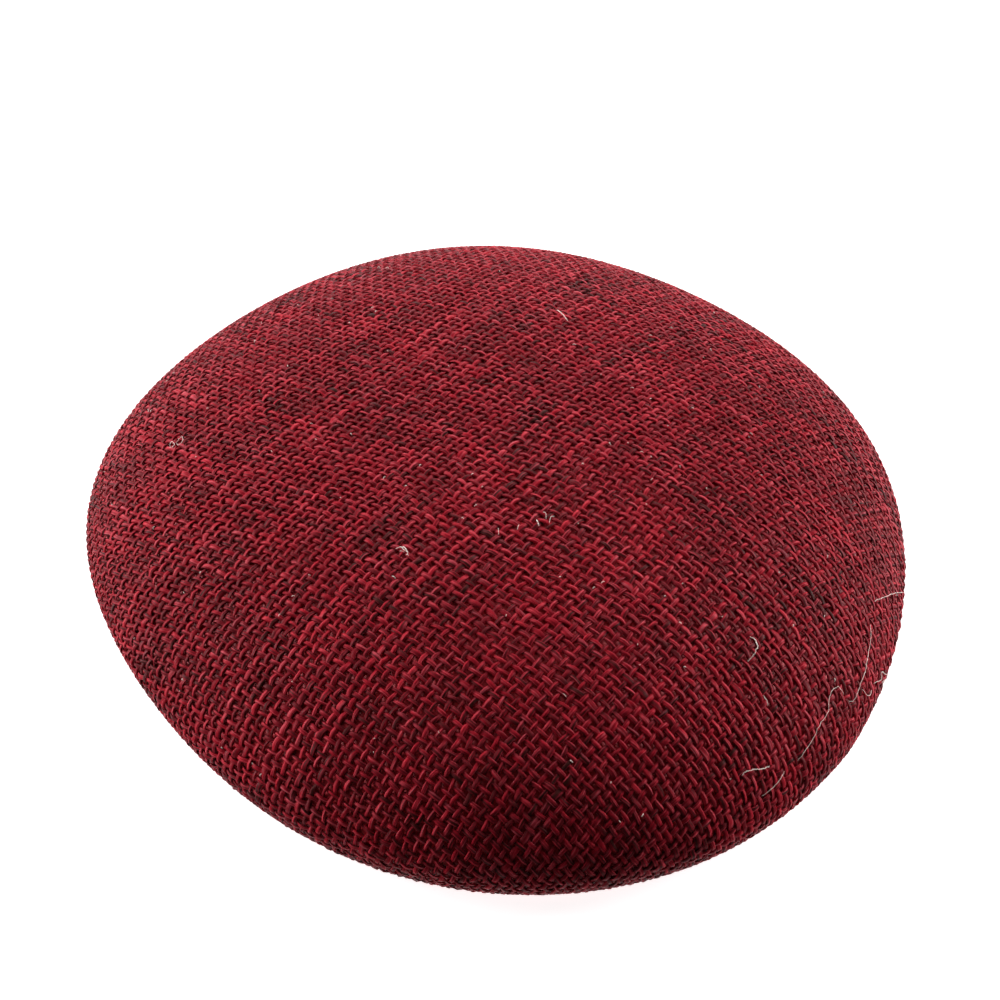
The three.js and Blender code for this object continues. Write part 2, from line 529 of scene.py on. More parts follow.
@dataclass(frozen=True)
class InnerWeave:
    """The inner ply: the same straw, closer woven, in the shade of the outer ply.

    Its UV is the straw numbers, so its plain weave follows the cloth. Each
    straw's height is |cos(pi n)| ** roundness of its own number n where it
    passes over, and the taller of the two shows. Where that height is low,
    between and under the straws, the colour is darkened to the shade colour
    as painted shade.
    passes over, and the taller of the two shows.
    """

    name: str = "inner_abaca_weave"
    shade: str = "#8C0C14"
    body: str = "#C4182A"
    bright: str = "#D01E2E"
    roughness: float = 0.6
    relief: float = 0.4
    roundness: float = 0.8
    shade_below: float = 0.15
    body_above: float = 0.6
    blotches: float = 0.35

    def material(self) -> bpy.types.Material:
        """Draws the weave by arithmetic on the straw numbers a and b.

        A falling straw is on top by 0.5 + 0.5 cos(pi (a + b)), a rising one by
        the rest, and the straw on top gives its own number to the dye.

        Returns:
            The woven ply's material.
        """
        material = bpy.data.materials.new(self.name)
        graph = Graph(material)
        uv = graph.add("ShaderNodeUVMap", {"uv_map": "UVMap"}).outputs[0]
        split = graph.add("ShaderNodeSeparateXYZ", None, Vector=uv)
        a, b = split.outputs[0], split.outputs[1]
        turn = graph.math("MULTIPLY", graph.math("ADD", a, b), math.pi)
        over = graph.math("MULTIPLY_ADD", graph.math("COSINE", turn), 0.5, 0.5)
        under = graph.math("SUBTRACT", 1.0, over)
        falling = graph.math("MULTIPLY", self._crest(graph, b), over)
        rising = graph.math("MULTIPLY", self._crest(graph, a), under)
        height = graph.math("MAXIMUM", falling, rising)
        is_rising = graph.math("GREATER_THAN", rising, falling)
        is_falling = graph.math("SUBTRACT", 1.0, is_rising)
        own_a = graph.math("MULTIPLY", a, is_rising)
        own_b = graph.math("MULTIPLY", b, is_falling)
        row = graph.math("ROUND", graph.math("ADD", own_a, own_b))
        place = graph.add("ShaderNodeCombineXYZ", None, X=row, Y=is_rising).outputs[0]
        dye = graph.add("ShaderNodeTexWhiteNoise", {"noise_dimensions": "2D"}, Vector=place).outputs["Value"]
        blotch = graph.noise("2D", Vector=uv, Scale=self.blotches, Detail=2.0)
        tone = graph.math("MULTIPLY", graph.math("ADD", dye, blotch), 0.5)
        body = graph.mix(tone, linear(self.body), linear(self.bright))
        # Painted shade: the colour runs from the shade colour where the weave is low to the dyed body where
        # it is high.
        lit = graph.add(
            "ShaderNodeMapRange", None, Value=height, in1=self.shade_below, in2=self.body_above
        ).outputs[0]
        graph.surface(
            Base_Color=graph.mix(lit, linear(self.shade), body),
            Roughness=self.roughness,
            Normal=graph.bump(height, 0.8, self.relief),
        )
        return material

    def _crest(self, graph: Graph, number: bpy.types.NodeSocket) -> bpy.types.NodeSocket:
        """A straw's rounded height across its width, 1 at its middle and 0 at its edges."""
        wave = graph.math("COSINE", graph.math("MULTIPLY", number, math.pi))
        return graph.math("POWER", graph.math("ABSOLUTE", wave), self.roundness)


@dataclass(frozen=True)
class MouldedResin:
    """Acetate comb: injection moulded, dark red brown, polished, faintly clouded."""

    name: str = "moulded_acetate"
    base: str = "#2C0C10"
    cloud: str = "#4A161A"
    roughness: float = 0.22
    coat: float = 0.3
    cloud_size: float = 6.0
    grain_size: float = 0.5
    relief: float = 0.1

    def material(self) -> bpy.types.Material:
        """Clouds the resin on Object coordinates.

        Returns:
            The comb's material.
        """
        material = bpy.data.materials.new(self.name)
        graph = Graph(material)
        place = graph.add("ShaderNodeTexCoord").outputs["Object"]
        cloud = graph.noise("3D", Vector=place, Scale=1.0 / (self.cloud_size * MM), Detail=3.0)
        grain = graph.noise("3D", Vector=place, Scale=1.0 / (self.grain_size * MM), Detail=2.0)
        graph.surface(
            Base_Color=graph.mix(cloud, linear(self.base), linear(self.cloud)),
            Roughness=self.roughness,
            Coat_Weight=self.coat,
            Normal=graph.bump(grain, 0.06, self.relief),
        )
        return material


@dataclass(frozen=True)
class TwistedFibre:
    """Thread or lint: a few fibres laid together; UV is millimetres along and round.

    The glow is painted light: the fibre gives off that share of its light
    colour as emission whatever lights it, standing in for light that comes
    through a thin pale fibre.
    back as light comes through it.
    """

    name: str = "sewing_thread"
    base: str = "#7C1E28"
    light: str = "#A8323C"
    roughness: float = 0.6
    pitch: float = 0.8
    glow: float = 0.0
    relief: float = 0.05

    def material(self) -> bpy.types.Material:
        """Draws a slanting ply on the UV: 0.5 + 0.5 sin of a turn for each pitch along and each round.

        Returns:
            The fibre's material.
        """
        material = bpy.data.materials.new(self.name)
        graph = Graph(material)
        uv = graph.add("ShaderNodeUVMap", {"uv_map": "UVMap"}).outputs[0]
        split = graph.add("ShaderNodeSeparateXYZ", None, Vector=uv)
        slant = graph.math("ADD", graph.math("DIVIDE", split.outputs[0], self.pitch), split.outputs[1])
        ply = graph.math("MULTIPLY_ADD", graph.math("SINE", graph.math("MULTIPLY", slant, TAU)), 0.5, 0.5)
        # Painted light: with a glow above zero the fibre gives off its light colour as emission.
        graph.surface(
            Base_Color=graph.mix(ply, linear(self.base), linear(self.light)),
            Roughness=self.roughness,
            Emission_Color=linear(self.light),
            Emission_Strength=self.glow,
            Normal=graph.bump(ply, 0.3, self.relief),
        )
        return material


# The crown's two plies, the bead, the stitches and the loose fibres


class Lie(Enum):
    """Which way a family of straws runs, seen from the front."""

    FALLING = "falling"
    RISING = "rising"


@dataclass
class Tubes:
    """Closed tubes of a few sides, many at once, as flat arrays of rings.

    The stride sets the tubes apart on the UV, so that no two have the same
    streaks, and cap_step is the UV's width of a side on the closed ends.
    """

    centres: np.ndarray
    across: np.ndarray
    out: np.ndarray
    half_width: np.ndarray
    half_height: np.ndarray
    strand: np.ndarray
    along: np.ndarray
    sides: int = 5
    stride: float = 1.731
    cap_step: float = 0.1

    def build(self, name: str, girth: float) -> bpy.types.Object:
        """Carries each ring's section along its strand and closes both ends.

        Corner k lies at centre + across w cos t + out h sin t, with
        t = 360 k / sides - 90 degrees, so that five sides leave a flat top.

        Args:
            name: The piece's name.
            girth: Length round the section, for the UV across the straw.

        Returns:
            The piece.
        """
        sides = self.sides
        k = np.arange(sides)
        turn = TAU * k / sides - math.pi / 2.0
        points = (
            self.centres[:, None, :]
            + self.across[:, None, :] * (self.half_width[:, None] * np.cos(turn))[..., None]
            + self.out[:, None, :] * (self.half_height[:, None] * np.sin(turn))[..., None]
        )
        parted = self.strand[1:] != self.strand[:-1]
        joined = np.nonzero(~parted)[0]
        near_ring = joined[:, None] * sides
        far_ring = near_ring + sides
        after = (k + 1) % sides
        quads = np.stack([near_ring + k, near_ring + after, far_ring + after, far_ring + k], -1)
        offset = (self.strand * self.stride)[joined][:, None]
        low, high = self.along[joined][:, None], self.along[joined + 1][:, None]
        near, far = offset + k * girth / sides, offset + (k + 1) * girth / sides
        corners = ((low, near), (low, far), (high, far), (high, near))
        uv = np.stack([np.stack(np.broadcast_arrays(*corner), -1) for corner in corners], axis=2)
        starts = np.nonzero(np.r_[True, parted])[0]
        ends = np.nonzero(np.r_[parted, True])[0]
        caps = np.concatenate([starts[:, None] * sides + k[::-1], ends[:, None] * sides + k])
        cap_along = np.repeat(self.along[np.r_[starts, ends]][:, None], sides, 1)
        cap_uv = np.stack([cap_along, np.tile(k * self.cap_step, (len(caps), 1))], -1)
        skins = [Skin(quads.reshape(-1, 4), uv.reshape(-1, 4, 2)), Skin(caps, cap_uv)]
        return mesh_piece(name, points.reshape(-1, 3), skins)


@dataclass
class OuterPly:
    """The outer ply, woven one over, one under, of two families of straws.

    A straw's middle lies at depth mean - swing cos(pi (a + b)) under the outer
    face, with the sign turned for the other family, so where one is on top the
    other is below it. Wave ranges are in straws, other lengths in millimetres.
    """

    straws: StrawMap
    width: float = 0.9
    thickness: float = 0.28
    swing: float = 0.2
    mean_depth: float = 0.26
    hem: float = 1.6
    reach: int = 72
    steps: int = 3
    parts: int = 3
    seed: int = 7
    patch_seed: int = 47
    sway: float = 0.075
    sway_waves: tuple[float, float] = (3.0, 11.0)
    roll: float = 0.16
    roll_waves: tuple[float, float] = (2.0, 7.0)
    width_by_straw: float = 0.17
    width_along: float = 0.09
    width_waves: tuple[float, float] = (4.0, 16.0)
    thickness_along: float = 0.08
    thickness_waves: tuple[float, float] = (3.0, 9.0)
    pitch: float = 1.55
    girth: float = 2.6
    tone: float = 0.56
    tone_by_straw: float = 0.08
    tone_along: float = 0.05
    tone_waves: tuple[float, float] = (4.0, 22.0)
    tone_by_float: float = 0.06
    tone_by_patch: float = 0.012
    patch_lengths: tuple[float, ...] = (16.0, 27.0, 44.0)
    patch_waves: int = 5

    def family(self, lie: Lie, material: bpy.types.Material) -> list[bpy.types.Object]:
        """Builds one family of straws as a few pieces.

        Args:
            lie: Which way the straws run.
            material: The straw's finish.

        Returns:
            The pieces, low numbers first.
        """
        rng = np.random.default_rng(self.seed + list(Lie).index(lie))
        run, row, strand = self._rings(lie)
        waves = StrandNoise(rng, 2 * self.reach + 1)
        sway = self.sway * waves.smooth(strand, run, *self.sway_waves)
        row = row + sway
        a, b = (run, row) if lie is Lie.FALLING else (row, run)
        point, along_a, along_b, normal = self.straws.frame_at(a, b)
        sign = 1.0 if lie is Lie.FALLING else -1.0
        phase = math.pi * (run + np.round(row - sway))
        lift = sign * self.swing * np.cos(phase)
        slope = -sign * self.swing * math.pi * np.sin(phase)
        along = along_a if lie is Lie.FALLING else along_b
        centres = point + normal * (lift - self.mean_depth)[:, None]
        heading = unit(along + normal * slope[:, None])
        across = unit(np.cross(normal, along))
        out = np.cross(heading, across)
        roll = self.roll * waves.smooth(strand, run, *self.roll_waves)[:, None]
        across, out = across * np.cos(roll) + out * np.sin(roll), out * np.cos(roll) - across * np.sin(roll)
        broad = self.width_by_straw * waves.level(strand)
        broad = broad + self.width_along * waves.smooth(strand, run, *self.width_waves)
        half_width = self.width * np.exp(broad) / 2.0
        deep = self.thickness_along * waves.smooth(strand, run, *self.thickness_waves)
        half_height = self.thickness * np.exp(deep) / 2.0
        tone = self._tone(waves, rng, strand, run, row, lie)
        rings = (centres, across, out, half_width, half_height, strand, run * self.pitch)
        pieces = []
        for number, group in enumerate(np.array_split(np.unique(strand), self.parts), 1):
            keep = (strand >= group[0]) & (strand <= group[-1])
            tubes = Tubes(*(part[keep] for part in rings))
            piece = tubes.build(f"outer_ply_{lie.value}_{number}", self.girth)
            set_attribute(piece, "tone", np.repeat(tone[keep], tubes.sides))
            dress(piece, material, "straw", "crown", "rim_edge")
            pieces.append(piece)
        return pieces

    def _rings(self, lie: Lie) -> tuple[np.ndarray, np.ndarray, np.ndarray]:
        """Finds where the rings of each straw stand.

        Rings stand a third of a straw apart. The first ring past the hem on
        either side is drawn back to the hem's edge along the straight line
        between the two.

        Args:
            lie: Which way the straws run.

        Returns:
            Each ring's number along its straw, the straw's own number and its index.
        """
        limit = self.straws.form.arc_at_level(0.0) + self.hem
        run = np.arange(-self.reach * self.steps, self.reach * self.steps + 1) / self.steps
        rows = np.arange(-self.reach, self.reach + 1).astype(float)
        grid_run, grid_row = np.meshgrid(run, rows)
        pair = (grid_run, grid_row) if lie is Lie.FALLING else (grid_row, grid_run)
        arc = self.straws.arc(*pair)
        inside = arc < limit
        middle = run.size // 2
        # Only the stretch that holds each straw's middle is kept.
        for side in (slice(middle, None), slice(middle, None, -1)):
            inside[:, side] = np.logical_and.accumulate(inside[:, side], axis=1)
        first = np.zeros_like(inside)
        first[:, :-1] = inside[:, 1:] & ~inside[:, :-1]
        last = np.zeros_like(inside)
        last[:, 1:] = inside[:, :-1] & ~inside[:, 1:]
        for edge, shift in ((first, 1), (last, -1)):
            i, j = np.nonzero(edge)
            share = (limit - arc[i, j + shift]) / (arc[i, j] - arc[i, j + shift])
            grid_run[i, j] = run[j + shift] + share * (run[j] - run[j + shift])
        use = inside | first | last
        strand = np.broadcast_to(np.arange(rows.size)[:, None], use.shape)
        return grid_run[use], grid_row[use], strand[use]

    def _tone(
        self,
        waves: "StrandNoise",
        rng: np.random.Generator,
        strand: np.ndarray,
        run: np.ndarray,
        row: np.ndarray,
        lie: Lie,
    ) -> np.ndarray:
        """Says how far the dye has taken: by straw, by stretch, by float and by patch.

        Args:
            waves: The family's noise.
            rng: The family's random numbers.
            strand: Each ring's straw.
            run: Each ring's number along its straw.
            row: Each ring's own straw number, with its sway.
            lie: Which way the straws run.

        Returns:
            A tone for each ring, about 0 where dull to 1 where bright.
        """
        patch = np.zeros_like(run)
        a, b = (run, row) if lie is Lie.FALLING else (row, run)
        east, north = self.straws.flat(a, b)
        cloth_rng = np.random.default_rng(self.patch_seed)
        for length in self.patch_lengths:
            for _ in range(self.patch_waves):
                angle, phase = cloth_rng.uniform(0.0, TAU, 2)
                patch += np.sin(TAU * (east * np.cos(angle) + north * np.sin(angle)) / length + phase)
        floats = rng.normal(size=(strand.max() + 1, 4 * self.reach + 4))
        turn = np.round(row) + (0.0 if lie is Lie.FALLING else 1.0)
        cell = np.round((run + turn) / 2.0).astype(int) + 2 * self.reach
        cell = np.clip(cell, 0, floats.shape[1] - 1)
        return (
            self.tone
            + self.tone_by_straw * waves.level(strand, 1)
            + self.tone_along * waves.smooth(strand, run, *self.tone_waves)
            + self.tone_by_float * floats[strand, cell]
            + self.tone_by_patch * patch
        )


class StrandNoise:
    """Smooth seeded noise along each straw, as sums of sines with its own phases."""

    def __init__(self, rng: np.random.Generator, count: int, waves: int = 5) -> None:
        """Draws three levels for each straw: its breadth, its dye and a spare.

        Args:
            rng: The random numbers that the levels and every wave come from.
            count: How many straws there are.
            waves: How many sines make up one noise.
        """
        self.rng = rng
        self.count = count
        self.waves = waves
        self.levels = rng.normal(size=(3, count))

    def level(self, strand: np.ndarray, which: int = 0) -> np.ndarray:
        """One number for each straw, with mean 0 and spread 1."""
        return self.levels[which][strand]

    def smooth(self, strand: np.ndarray, run: np.ndarray, shortest: float, longest: float) -> np.ndarray:
        """Noise along the straws, with mean 0 and a spread of about 1.

        It is the sum of a few sines of growing length. Each straw has its own
        phases, and stretches each wave by a factor of its own near one.

        Args:
            strand: Each ring's straw.
            run: Each ring's number along its straw.
            shortest: The shortest wave, in straws.
            longest: The longest wave, in straws.

        Returns:
            The noise at each ring.
        """
        total = np.zeros_like(run)
        lengths = np.geomspace(shortest, longest, self.waves)
        phases = self.rng.uniform(0.0, TAU, (self.waves, self.count))
        stretch = self.rng.uniform(0.85, 1.18, (self.waves, self.count))
        for wave, length in enumerate(lengths):
            total += np.sin(TAU * run / (length * stretch[wave][strand]) + phases[wave][strand])
        return total * math.sqrt(2.0 / self.waves)


@dataclass
class InnerPly:
    """The inner ply: one closed shell between two depths under the outer face.

    Rows run from the apex down the outer side, across the bottom and back up
    the inner side; row i, column j lies at surface(arc_i, 2 pi j / columns)
    less depth_i along the normal.
    """

    straws: StrawMap
    outer_depth: float = 0.62
    inner_depth: float = 1.6
    bottom_level: float = 1.5
    rows: int = 66
    columns: int = 192

    def build(self, material: bpy.types.Material) -> bpy.types.Object:
        """Makes the shell and dresses it.

        Args:
            material: The inner weave.

        Returns:
            The piece.
        """
        form = self.straws.form
        end = form.arc_at_level(self.bottom_level)
        down = end * np.linspace(0.0, 1.0, self.rows + 1)[1:]
        arc = np.concatenate([down, down[::-1]])
        depth = np.concatenate([np.full(self.rows, self.outer_depth), np.full(self.rows, self.inner_depth)])
        bearing = TAU * np.arange(self.columns) / self.columns
        points = sunk(form, arc[:, None], bearing[None, :], depth[:, None])
        arcs, bearings = np.broadcast_arrays(arc[:, None], bearing[None, :])
        a, b = self.straws.numbers_at(arcs.ravel(), bearings.ravel())
        numbers = np.stack([a, b], -1) + 0.5
        apex = form.surface(np.zeros(2), np.zeros(2)) - [[0, 0, self.outer_depth], [0, 0, self.inner_depth]]
        vertices = np.concatenate([points.reshape(-1, 3), apex])
        apex_uv = np.full((2, 2), 0.5)
        vertex_uv = np.concatenate([numbers, apex_uv])
        quads = ring_quads(2 * self.rows, self.columns)
        ring = np.arange(self.columns)
        top = np.stack([np.full_like(ring, len(vertices) - 2), ring, np.roll(ring, -1)], -1)
        last = (2 * self.rows - 1) * self.columns + ring
        under = np.stack([np.full_like(ring, len(vertices) - 1), np.roll(last, -1), last], -1)
        skins = [Skin(quads, vertex_uv[quads]), Skin(top, vertex_uv[top]), Skin(under, vertex_uv[under])]
        piece = mesh_piece("inner_ply", vertices, skins)
        dress(piece, material, "straw", "crown")
        return piece


def sunk(form: BlockedForm, arc: np.ndarray, bearing: np.ndarray, depth: np.ndarray) -> np.ndarray:
    """Points under the outer face, along the normal found by central differences.

    Args:
        form: The blocked form.
        arc: Arc lengths from the apex, in millimetres.
        bearing: Bearings in radians.
        depth: Depths in millimetres, below zero for points above the face.

    Returns:
        Points in millimetres, (..., 3).
    """
    arc, bearing, depth = np.broadcast_arrays(arc, bearing, depth)
    step, turn = 0.1, 0.01
    down = form.surface(arc + step, bearing) - form.surface(np.maximum(arc - step, 0.0), bearing)
    round_ = form.surface(arc, bearing + turn) - form.surface(arc, bearing - turn)
    return form.surface(arc, bearing) - unit(np.cross(down, round_)) * depth[..., None]


def ring_quads(rings: int, columns: int) -> np.ndarray:
    """Quads between closed rings of vertices stacked one after another, facing out.

    Args:
        rings: How many rings there are.
        columns: How many vertices each ring has.

    Returns:
        Vertex numbers, four a quad.
    """
    i, j = np.meshgrid(np.arange(rings - 1), np.arange(columns), indexing="ij")
    k = (j + 1) % columns
    low, high = i * columns, (i + 1) * columns
    return np.stack([low + j, high + j, high + k, low + k], -1).reshape(-1, 4)


@dataclass
class RimBead:
    """The bead inside the turned edge: a cord of straw that the outer ply is folded round.

    Its section is a rounded box, |x / w| ** power + |z / h| ** power = 1,
    carried round the rim a fixed way inside the outer face. Its UV is in
    straws along the rim, and uv_round for each radian round the section.
    """

    straws: StrawMap
    inset: float = 0.85
    width: float = 1.9
    low: float = 0.85
    high: float = 1.9
    power: float = 4.0
    pitch: float = 1.5
    uv_round: float = 0.25
    columns: int = 384
    sides: int = 16

    def build(self, material: bpy.types.Material) -> bpy.types.Object:
        """Makes the bead and dresses it.

        Args:
            material: The inner weave.

        Returns:
            The piece.
        """
        form = self.straws.form
        bearing = TAU * np.arange(self.columns) / self.columns
        turn = TAU * np.arange(self.sides) / self.sides
        edge = form.surface(np.full_like(bearing, form.arc_at_level(self.high)), bearing)[:, :2]
        radial = np.hypot(edge[:, 0] - form.centre[0], edge[:, 1] - form.centre[1])
        rounded = rounded_box(turn, self.power)
        middle = radial - self.inset - self.width / 2.0
        r = middle[None, :] - (self.width / 2.0 * rounded * np.cos(turn))[:, None]
        z = (self.low + self.high) / 2.0 + (self.high - self.low) / 2.0 * rounded * np.sin(turn)
        x = r * np.cos(bearing) + form.centre[0]
        y = r * np.sin(bearing) + form.centre[1]
        points = np.stack([x, y, np.broadcast_to(z[:, None], x.shape)], -1)
        quads = ring_quads(self.sides + 1, self.columns) % (self.sides * self.columns)
        along, round_ = bearing * form.radius / self.pitch, (turn * self.uv_round)[:, None]
        around = np.stack(np.broadcast_arrays(along, round_), -1).reshape(-1, 2)
        piece = mesh_piece("rim_bead", points.reshape(-1, 3), [Skin(quads, around[quads])])
        dress(piece, material, "binding", "rim_edge")
        return piece


def rounded_box(turn: np.ndarray, power: float) -> np.ndarray:
    """How far |x| ** power + |y| ** power = 1 lies from its middle, at angles in radians."""
    return (np.abs(np.cos(turn)) ** power + np.abs(np.sin(turn)) ** power) ** (-1.0 / power)


@dataclass
class CombStitches:
    """Overcast stitches that hold the comb's spine to the bead, one between each two teeth.

    In the radial plane a stitch runs |x / w| ** power + |z / h| ** power = 1
    round the spine, with its two ends inside the bead.
    """

    form: BlockedForm
    bearing: float = 90.0
    spread: float = 14.95
    stitches: int = 12
    share: float = 0.97
    wall_level: float = 1.8
    inset: float = 3.8
    half_width: float = 1.5
    level: float = 2.2
    half_height: float = 1.82
    power: float = 6.0
    radius: float = 0.19
    slant: float = 1.1
    uneven: float = 0.12
    rings: int = 33
    sides: int = 8
    seed: int = 5

    def build(self, material: bpy.types.Material) -> bpy.types.Object:
        """Makes every stitch in one piece and dresses it.

        Args:
            material: The thread.

        Returns:
            The piece.
        """
        rng = np.random.default_rng(self.seed)
        turn = np.linspace(0.0, TAU, self.rings)
        rounded = rounded_box(turn, self.power)
        inward, level = self.half_width * rounded * np.cos(turn), self.half_height * rounded * np.sin(turn)
        wall_arc = self.form.arc_at_level(self.wall_level)
        loops = []
        for number in range(self.stitches):
            place = self.share * ((number + 0.5) / self.stitches - 0.5) * 2.0 * self.spread
            lean = self.slant * (turn / TAU - 0.5) + rng.normal(0.0, self.uneven)
            bearing = math.radians(self.bearing + place) + lean / self.form.radius
            edge = self.form.surface(np.full_like(bearing, wall_arc), bearing)[:, :2]
            radial = np.hypot(*(edge - self.form.centre).T) - self.inset + inward
            x = self.form.centre[0] + radial * np.cos(bearing)
            y = self.form.centre[1] + radial * np.sin(bearing)
            loop = np.stack([x, y, self.level + level], -1)
            heading = unit(np.gradient(loop, axis=0))
            aside = np.stack([-np.sin(bearing), np.cos(bearing), np.zeros_like(bearing)], -1)
            aside = unit(aside - heading * np.sum(aside * heading, axis=1, keepdims=True))
            loops.append((loop, aside, np.cross(heading, aside)))
        centres, across, out = (np.concatenate(part) for part in zip(*loops))
        size = np.full(self.stitches * self.rings, self.radius)
        strand = np.repeat(np.arange(self.stitches), self.rings)
        length = 4.0 * (self.half_width + self.half_height)
        along = np.tile(turn / TAU * length, self.stitches)
        tubes = Tubes(centres, across, out, size, size, strand, along, self.sides)
        piece = tubes.build("comb_stitches", 1.0)
        dress(piece, material, "binding")
        return piece


@dataclass(frozen=True)
class LooseFibre:
    """One fibre or bit of lint on the straw: points of (arc, bearing), and its bow off the surface."""

    points: tuple[tuple[float, float], ...]
    bow: float = 0.5
    radius: float = 0.05


@dataclass
class LooseFibres:
    """Fibres that have worked out of the straw, and lint, lying on the crown.

    A fibre follows a Catmull-Rom curve through its points on the outer face,
    raised by rest + bow sin(pi t) so that its ends touch the straw. A straight
    run would look drawn, so each ring is moved by about the crinkle, turned to
    degrees of bearing at the mean arc.
    """

    form: BlockedForm
    rest: float = 0.12
    crinkle: float = 0.07
    mean_arc: float = 70.0
    rings: int = 30
    uv_length: float = 3.0
    specks: int = 120
    speck_reach: float = 84.0
    speck_length: tuple[float, float] = (0.15, 0.7)
    speck_bow: tuple[float, float] = (0.1, 0.3)
    speck_radius: tuple[float, float] = (0.05, 0.08)
    seed: int = 11
    fibres: tuple[LooseFibre, ...] = (
        LooseFibre(((61.6, -47.4), (62.7, -47.6), (63.7, -48.4), (64.2, -49.4), (64.3, -50.6)), 1.1, 0.075),
        LooseFibre(
            ((80.3, -40.4), (78.5, -40.6), (77.8, -42.2), (78.2, -43.4), (79.5, -44.8), (79.8, -46.6),
             (80.7, -48.4), (81.6, -50.6), (82.1, -52.0)),
            0.7,
        ),
        LooseFibre(
            ((78.6, -27.8), (79.4, -29.6), (80.5, -33.0), (81.1, -34.8), (81.5, -36.8), (82.1, -38.4),
             (82.4, -39.6), (81.7, -40.2)),
            0.6,
        ),
        LooseFibre(((82.9, -36.8), (84.2, -36.8), (84.9, -36.2), (85.0, -35.2)), 0.4),
        LooseFibre(
            ((84.8, -34.2), (85.5, -32.8), (84.4, -32.4), (86.7, -31.2), (86.1, -32.6), (87.9, -31.6)),
            0.9,
            0.07,
        ),
        LooseFibre(((77.9, -23.8), (79.8, -21.6), (82.6, -18.6), (86.5, -15.4)), 0.5, 0.06),
        LooseFibre(((78.8, -60.0), (78.5, -59.6), (78.7, -58.6), (79.4, -57.4), (79.9, -56.0)), 0.5, 0.08),
        LooseFibre(((82.1, -54.4), (82.7, -55.8), (83.1, -57.4), (83.4, -58.4)), 0.5),
        LooseFibre(((70.2, -51.8), (71.9, -52.0)), 0.3, 0.06),
        LooseFibre(((36.5, 72.4), (35.5, 70.8), (33.9, 67.0)), 0.4, 0.08),
        LooseFibre(
            ((63.5, 177.2), (63.3, 176.4), (62.7, 176.6), (62.2, 177.6), (62.8, 177.8), (63.5, 177.3)),
            0.4,
        ),
        LooseFibre(
            ((62.1, 176.6), (61.5, 176.2), (60.8, 176.0), (60.4, 176.8), (60.6, 177.6), (61.5, 177.8),
             (62.1, 176.7)),
            0.5,
        ),
        LooseFibre(((26.6, -90.6), (28.0, -90.4)), 0.2),
        LooseFibre(((25.9, -83.2), (26.9, -84.0)), 0.2, 0.06),
        LooseFibre(((25.2, -76.4), (26.6, -76.2)), 0.3, 0.09),
        LooseFibre(((23.8, -72.8), (24.4, -72.2), (25.4, -72.8)), 0.3),
        LooseFibre(((26.3, -72.2), (25.4, -71.0), (25.3, -69.6)), 0.3),
        LooseFibre(((37.1, -119.4), (36.4, -118.2), (36.6, -117.0), (36.6, -115.6)), 0.3, 0.09),
        LooseFibre(((36.0, -118.0), (36.3, -116.6), (36.9, -115.4)), 0.3, 0.09),
        LooseFibre(((37.1, -118.0), (36.9, -116.6)), 0.2),
    )

    def build(self, material: bpy.types.Material) -> bpy.types.Object:
        """Makes every fibre in one piece and dresses it.

        Args:
            material: The lint.

        Returns:
            The piece.
        """
        fibres = [*self.fibres, *self._specks()]
        parts = [self._rings(fibre) for fibre in fibres]
        count = len(parts)
        centres, across, out = (np.concatenate(part) for part in zip(*parts))
        radius = np.repeat([fibre.radius for fibre in fibres], self.rings) * np.tile(self._taper(), count)
        strand = np.repeat(np.arange(count), self.rings)
        along = np.tile(np.linspace(0.0, self.uv_length, self.rings), count)
        piece = Tubes(centres, across, out, radius, radius, strand, along).build("loose_fibres", 0.5)
        dress(piece, material, "straw")
        return piece

    def _specks(self) -> list[LooseFibre]:
        """Strews short bits of lint over the crown, as evenly as random numbers do.

        The arc is the reach times the root of a uniform number, so that each
        bit of surface gets its share.

        Returns:
            The specks as fibres of two points.
        """
        rng = np.random.default_rng(self.seed)
        specks = []
        for _ in range(self.specks):
            arc = self.speck_reach * math.sqrt(rng.uniform(0.02, 1.0))
            bearing = rng.uniform(-180.0, 180.0)
            turn = rng.uniform(0.0, TAU)
            length = rng.uniform(*self.speck_length)
            end = (arc + length * math.cos(turn), bearing + math.degrees(length * math.sin(turn) / arc))
            bow = rng.uniform(*self.speck_bow)
            specks.append(LooseFibre(((arc, bearing), end), bow, rng.uniform(*self.speck_radius)))
        return specks

    def _taper(self) -> np.ndarray:
        """The radius along a fibre, 0.5 + 0.5 sin(pi t) ** 0.4: full in the middle, half at its ends."""
        return 0.5 + 0.5 * np.sin(math.pi * np.linspace(0.0, 1.0, self.rings)) ** 0.4

    def _path(self, fibre: LooseFibre) -> np.ndarray:
        """Draws a Catmull-Rom curve through the fibre's points and crinkles it a little.

        Args:
            fibre: The fibre.

        Returns:
            Arc in millimetres and bearing in degrees at each ring.
        """
        knots = np.array(fibre.points)
        knots = np.concatenate([[2.0 * knots[0] - knots[1]], knots, [2.0 * knots[-1] - knots[-2]]])
        place = np.linspace(0.0, len(knots) - 3.0, self.rings)
        i = np.minimum(place.astype(int), len(knots) - 4)
        t = (place - i)[:, None]
        p0, p1, p2, p3 = (knots[i + k] for k in range(4))
        squared = 2.0 * p0 - 5.0 * p1 + 4.0 * p2 - p3
        cubed = 3.0 * p1 - p0 - 3.0 * p2 + p3
        path = 0.5 * (2.0 * p1 + (p2 - p0) * t + squared * t**2 + cubed * t**3)
        rng = np.random.default_rng(len(fibre.points) + int(knots[1, 0] * 10))
        crinkle = rng.normal(0.0, 1.0, (self.rings, 2))
        size = np.array([self.crinkle, math.degrees(self.crinkle / self.mean_arc)])
        return path + crinkle * size * min(1.0, fibre.bow)

